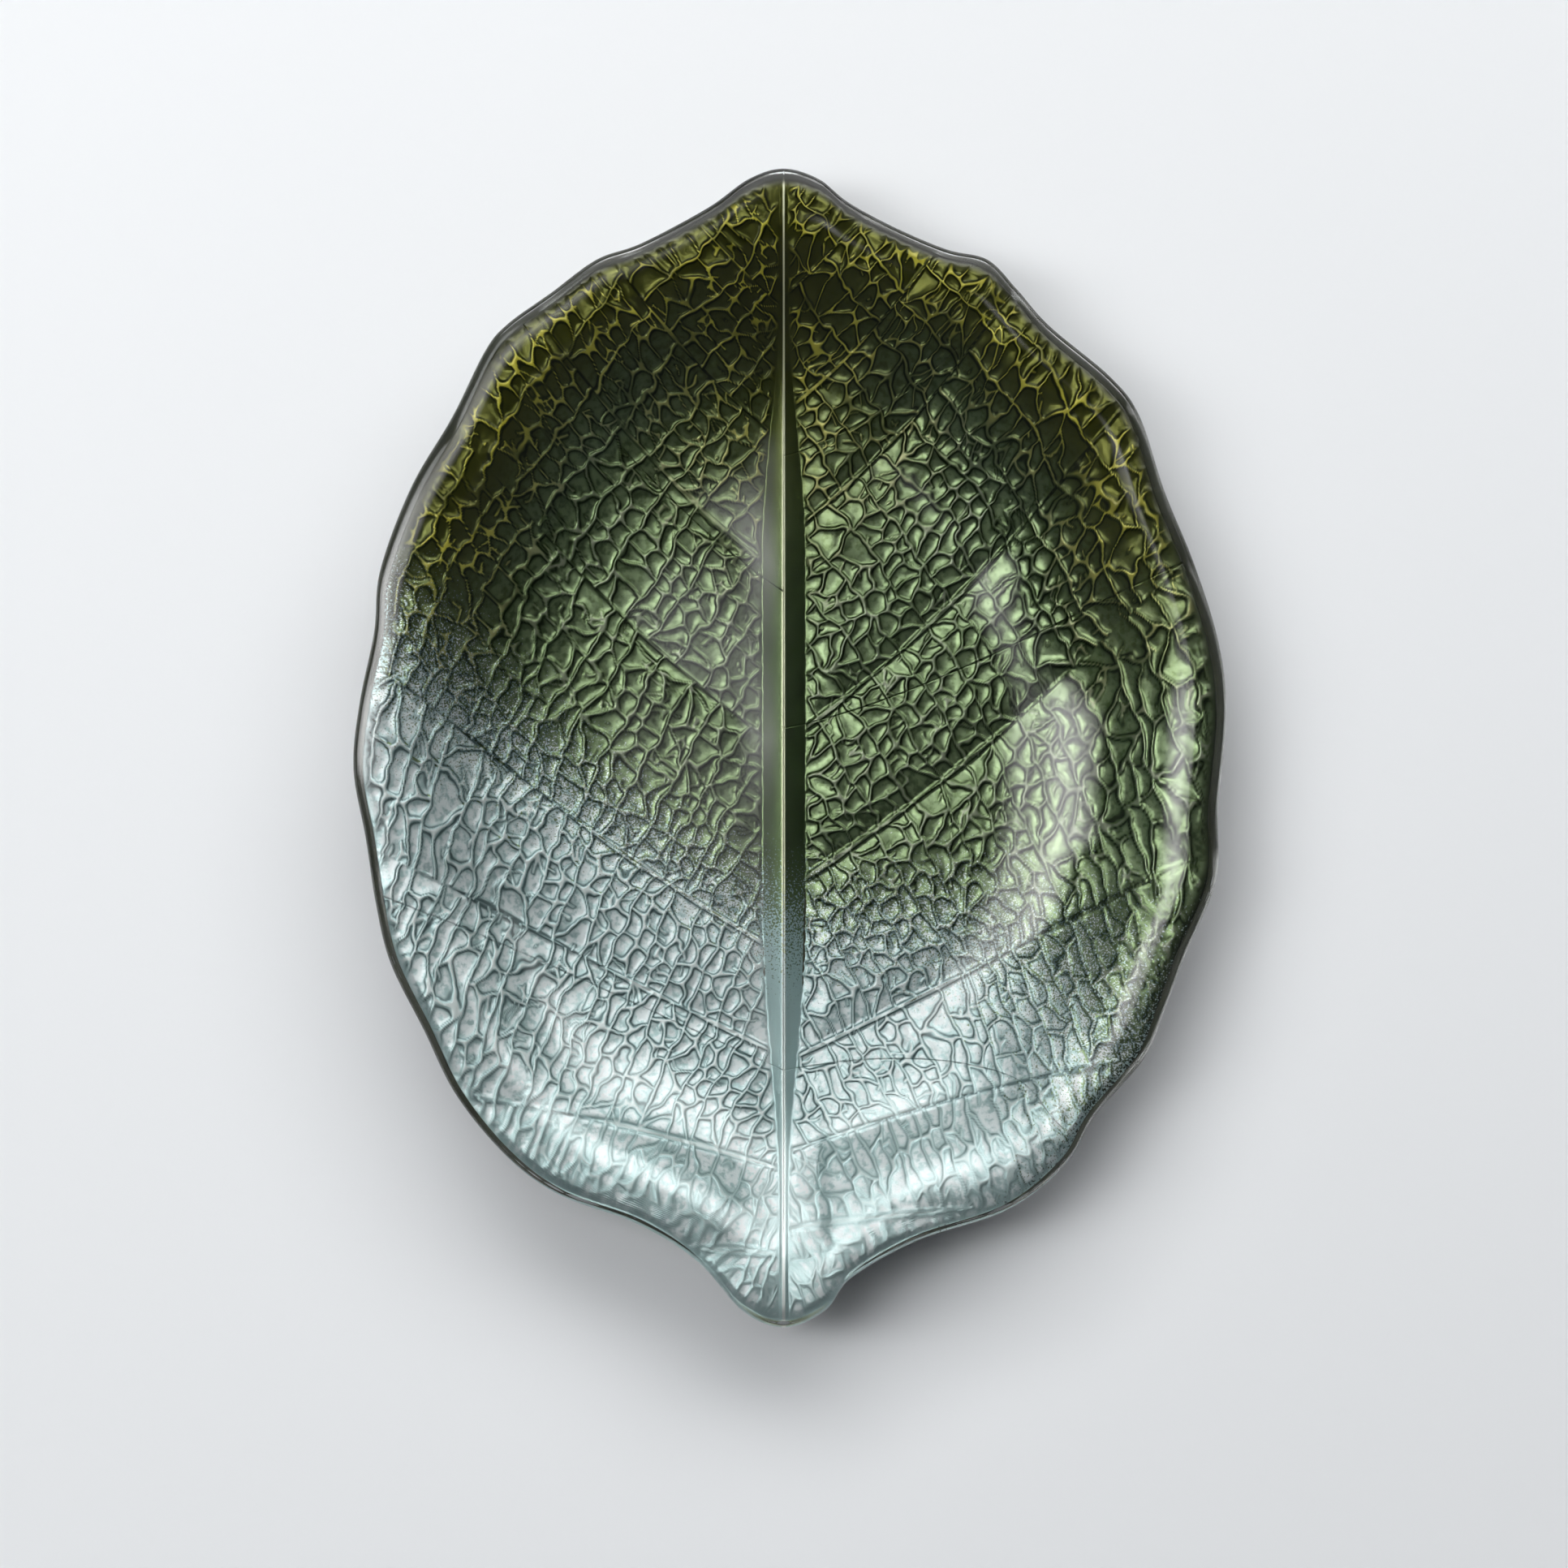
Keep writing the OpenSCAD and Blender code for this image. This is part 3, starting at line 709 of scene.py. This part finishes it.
# Colours of the plain olive, sage and gold lacquer, the painted highlight in the meshes' hearts, the
# painted shade at the veins' feet and along the rim, and the painted highlight lines on the crests and
# midrib
OLIVE, SAGE, SAGE_PAINTED_HIGHLIGHT = (0.11, 0.155, 0.07), (0.18, 0.245, 0.125), (0.26, 0.345, 0.185)
TIP_OLIVE, GREEN_FOOT_SHADE = (0.09, 0.095, 0.014), (0.015, 0.018, 0.009)
SAGE_HIGHLIGHT_LINE, GOLD_HIGHLIGHT_LINE = (0.32, 0.36, 0.25), (0.7, 0.64, 0.07)
GREEN_SPINE_HIGHLIGHT, GREEN_RIM_SHADE = (0.85, 0.86, 0.6), (0.012, 0.013, 0.007)
GREEN_SHADE_DEPTH = 0.75
# Where the colour turns to gold: feet toward the tip, and distances in from the rim above the stem.
# Then the reach of the painted shade along the rim, the patches in which the painted highlight lines
# show, the metal, what the gold and the painted highlight hearts take from it, and what the painted
# highlight lines take
GOLD_FEET, GOLD_EDGE, GOLD_EDGE_FEET = (0.1, 0.8), (42.0, 12.0), (-0.45, -0.1)
RIM_SHADE_REACH, GLINT = (2.2, 5.5), (0.25, 0.65)
GREEN_METAL, GOLD_AND_HIGHLIGHT_LOSS, HIGHLIGHT_LINE_LOSS = 0.98, -0.26, -0.6
green_lacquer, tree, shader = new_material("green_lacquer")
place = tree.nodes.new("ShaderNodeTexCoord").outputs["Object"]
net = put_net(tree, place, GREEN_SHADE_DEPTH)
patch = add(tree, "ShaderNodeTexNoise", (place, "Vector"), Scale=90.0, Detail=2.0)
rim_in, foot, crest = value_of(tree, "rim"), value_of(tree, "foot"), value_of(tree, "spine")
edge = count(tree, "MULTIPLY", span(tree, rim_in, *GOLD_EDGE), span(tree, foot, *GOLD_EDGE_FEET))
gold = count(tree, "MAXIMUM", span(tree, foot, *GOLD_FEET), edge)
body = blend(tree, patch.outputs["Fac"], OLIVE, SAGE)
# Painted highlight in the hearts of the meshes, broken up by streaks
body = blend(tree, net["Bright"], body, SAGE_PAINTED_HIGHLIGHT)
body = blend(tree, gold, body, TIP_OLIVE)
# Painted shade at the foot of each vein's flanks
body = blend(tree, net["Foot"], body, GREEN_FOOT_SHADE)
# Painted highlight lines along the veins' crests, gold toward the tip, shown in patches
line = blend(tree, gold, SAGE_HIGHLIGHT_LINE, GOLD_HIGHLIGHT_LINE)
painted_glint = count(tree, "MULTIPLY", net["Line"], span(tree, patch.outputs["Fac"], *GLINT))
body = blend(tree, painted_glint, body, line)
# Painted highlight line along the midrib's crest
body = blend(tree, crest, body, GREEN_SPINE_HIGHLIGHT)
# Painted shade along the rim: near black, and without metal there
inner = span(tree, rim_in, *RIM_SHADE_REACH)
body = blend(tree, inner, GREEN_RIM_SHADE, body)
tree.links.new(body, shader.inputs["Base Color"])
# The gold and the painted highlight hearts and lines have less metal, and the painted shade along the
# rim fades to none
pale, bare = count(tree, "MAXIMUM", gold, net["Bright"]), count(tree, "MAXIMUM", net["Line"], crest)
metal = count(tree, "MULTIPLY_ADD", pale, GOLD_AND_HIGHLIGHT_LOSS, GREEN_METAL)
metal = count(tree, "MULTIPLY_ADD", bare, HIGHLIGHT_LINE_LOSS, metal)
tree.links.new(count(tree, "MULTIPLY", metal, inner), shader.inputs["Metallic"])
shader.inputs["Roughness"].default_value = 0.28
bump = add(tree, "ShaderNodeBump", (net["Grain"], "Height"), Strength=0.12, Distance=0.0002)
tree.links.new(bump.outputs["Normal"], shader.inputs["Normal"])
for piece in green:
    piece.data.materials.append(green_lacquer)
    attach(piece, "root")
    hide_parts("green_coat")

# Backing coat
# Thick dark olive enamel over both colours, which keeps the table from scratching them. It fills
# the grooves of the net in part, so the underside shows the leaf softened.

BACKING_ROWS, BACKING_COLUMNS, BACKING_STEP, BACKING_TOP = 180, 240, 4, 0.2
NET_SHARE, NET_LIMITS = 0.3, (0, 0.4)
BACKING_DARK, BACKING_PALE = (0.035, 0.038, 0.018), (0.055, 0.058, 0.03)
backing = film(
    "backing_coat_film", BACKING_ROWS, BACKING_COLUMNS, BACKING_STEP, (-1, 1), lowest, highest,
    lambda x, y: netted(x, y, COATS, NET_SHARE, NET_LIMITS),
    lambda x, y: under(x, y, BACKING_TOP), down=True)
backing_lacquer, tree, shader = new_material("backing_lacquer")
backing.data.materials.append(backing_lacquer)
place = tree.nodes.new("ShaderNodeTexCoord").outputs["Object"]
patch = add(tree, "ShaderNodeTexNoise", (place, "Vector"), Scale=40.0, Detail=4.0)
body = blend(tree, patch.outputs["Fac"], BACKING_DARK, BACKING_PALE)
tree.links.new(body, shader.inputs["Base Color"])
orange_peel = add(tree, "ShaderNodeTexNoise", (place, "Vector"), Scale=700.0, Detail=1.0)
peel = orange_peel.outputs["Fac"]
bump = add(tree, "ShaderNodeBump", (peel, "Height"), Strength=0.2, Distance=0.0002)
tree.links.new(bump.outputs["Normal"], shader.inputs["Normal"])
shader.inputs["Roughness"].default_value = 0.38
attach(backing, "root")
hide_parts("backing_coat")

# Floor, lights and camera
# A plain pale floor under a wide panel with three soft-edged windows: two on the left and a broad one
# toward the tip. A lamp that is mostly above the panel adds a little light, and the camera looks
# straight down with the leaf's tip at the top of the picture.


def sheet(name, left, right, near, far, height):
    """A level rectangle, which faces up where left is less than right, and down where it is more."""
    mesh = bpy.data.meshes.new(name)
    corners = [(left, near, height), (right, near, height), (right, far, height), (left, far, height)]
    mesh.from_pydata(corners, [], [(0, 1, 2, 3)])
    made = bpy.data.objects.new(name, mesh)
    bpy.context.scene.collection.objects.link(made)
    return made


floor = sheet("floor", -4, 4, -4, 4, 0)
pale_floor, tree, shader = new_material("pale_floor")
floor.data.materials.append(pale_floor)
shader.inputs["Base Color"].default_value = (0.86, 0.88, 0.90, 1)
shader.inputs["Roughness"].default_value = 0.9

FILL_SIZE, FILL_RADIANCE = 1.4, 6.4
fill_data = bpy.data.lights.new("floor_fill", "AREA")
fill_data.shape, fill_data.size = "SQUARE", FILL_SIZE
fill_data.energy = FILL_RADIANCE * math.pi * FILL_SIZE**2
fill = bpy.data.objects.new("floor_fill", fill_data)
bpy.context.scene.collection.objects.link(fill)
fill.location = (-1.0, 1.9, 2.0)
fill.rotation_euler = (-fill.location).to_track_quat("-Z", "Y").to_euler()
fill.visible_glossy = False

PANEL_HEIGHT = 1.8
# Windows of the panel: where each starts, is full, starts to end and ends, across and along the
# leaf, as slopes seen from the plate, and its strength
KEY = ((-0.02, -0.16, -0.3, -2.3), (-0.12, 0.06, 0.15, 0.4), 4.4)
CORE = ((-0.25, -0.6, -0.7, -2.0), (-0.15, 0.0, 0.15, 0.4), 4.0)
TOP = ((2.2, 1.3, -0.4, -0.8), (0.4, 1.0, 1.7, 2.2), 4.3)
panel = sheet("soft_panel", 4.2, -4.2, -0.9, 4, PANEL_HEIGHT)
soft_panel, tree, shader = new_material("soft_panel")
panel.data.materials.append(soft_panel)
place = tree.nodes.new("ShaderNodeTexCoord").outputs["Object"]


def glow(tree, place, across, along, strength):
    """Light of a window: its strength times a smooth step in and a smooth step out on each axis."""
    split = add(tree, "ShaderNodeSeparateXYZ", (place, "Vector"))
    light = strength
    for axis, edges in (("X", across), ("Y", along)):
        start, full, last, end = (PANEL_HEIGHT * e for e in edges)
        light = count(tree, "MULTIPLY", span(tree, split.outputs[axis], start, full), light)
        light = count(tree, "MULTIPLY", span(tree, split.outputs[axis], end, last), light)
    return light


shader.inputs["Base Color"].default_value = (0, 0, 0, 1)
shader.inputs["Emission Color"].default_value = (1, 1, 1, 1)
light = count(tree, "ADD", glow(tree, place, *KEY), glow(tree, place, *CORE))
light = count(tree, "ADD", light, glow(tree, place, *TOP))
tree.links.new(light, shader.inputs["Emission Strength"])
world = bpy.data.worlds.new("studio")
world.use_nodes = True
world.node_tree.nodes["Background"].inputs["Color"].default_value = (0.8, 0.87, 1.0, 1)
world.node_tree.nodes["Background"].inputs["Strength"].default_value = 0.07
bpy.context.scene.world = world

camera_data = bpy.data.cameras.new("camera")
camera_data.sensor_width = 36.0
FRAME_WIDTH, CAMERA_HEIGHT, FOCUS_HEIGHT = 0.3796, 1.5, 0.02
camera_data.lens = camera_data.sensor_width * (CAMERA_HEIGHT - FOCUS_HEIGHT) / FRAME_WIDTH
camera = bpy.data.objects.new("camera", camera_data)
bpy.context.scene.collection.objects.link(camera)
camera.location = (-0.0014, -0.0087, CAMERA_HEIGHT)
bpy.context.scene.camera = camera
bpy.context.scene.view_settings.view_transform = "Standard"
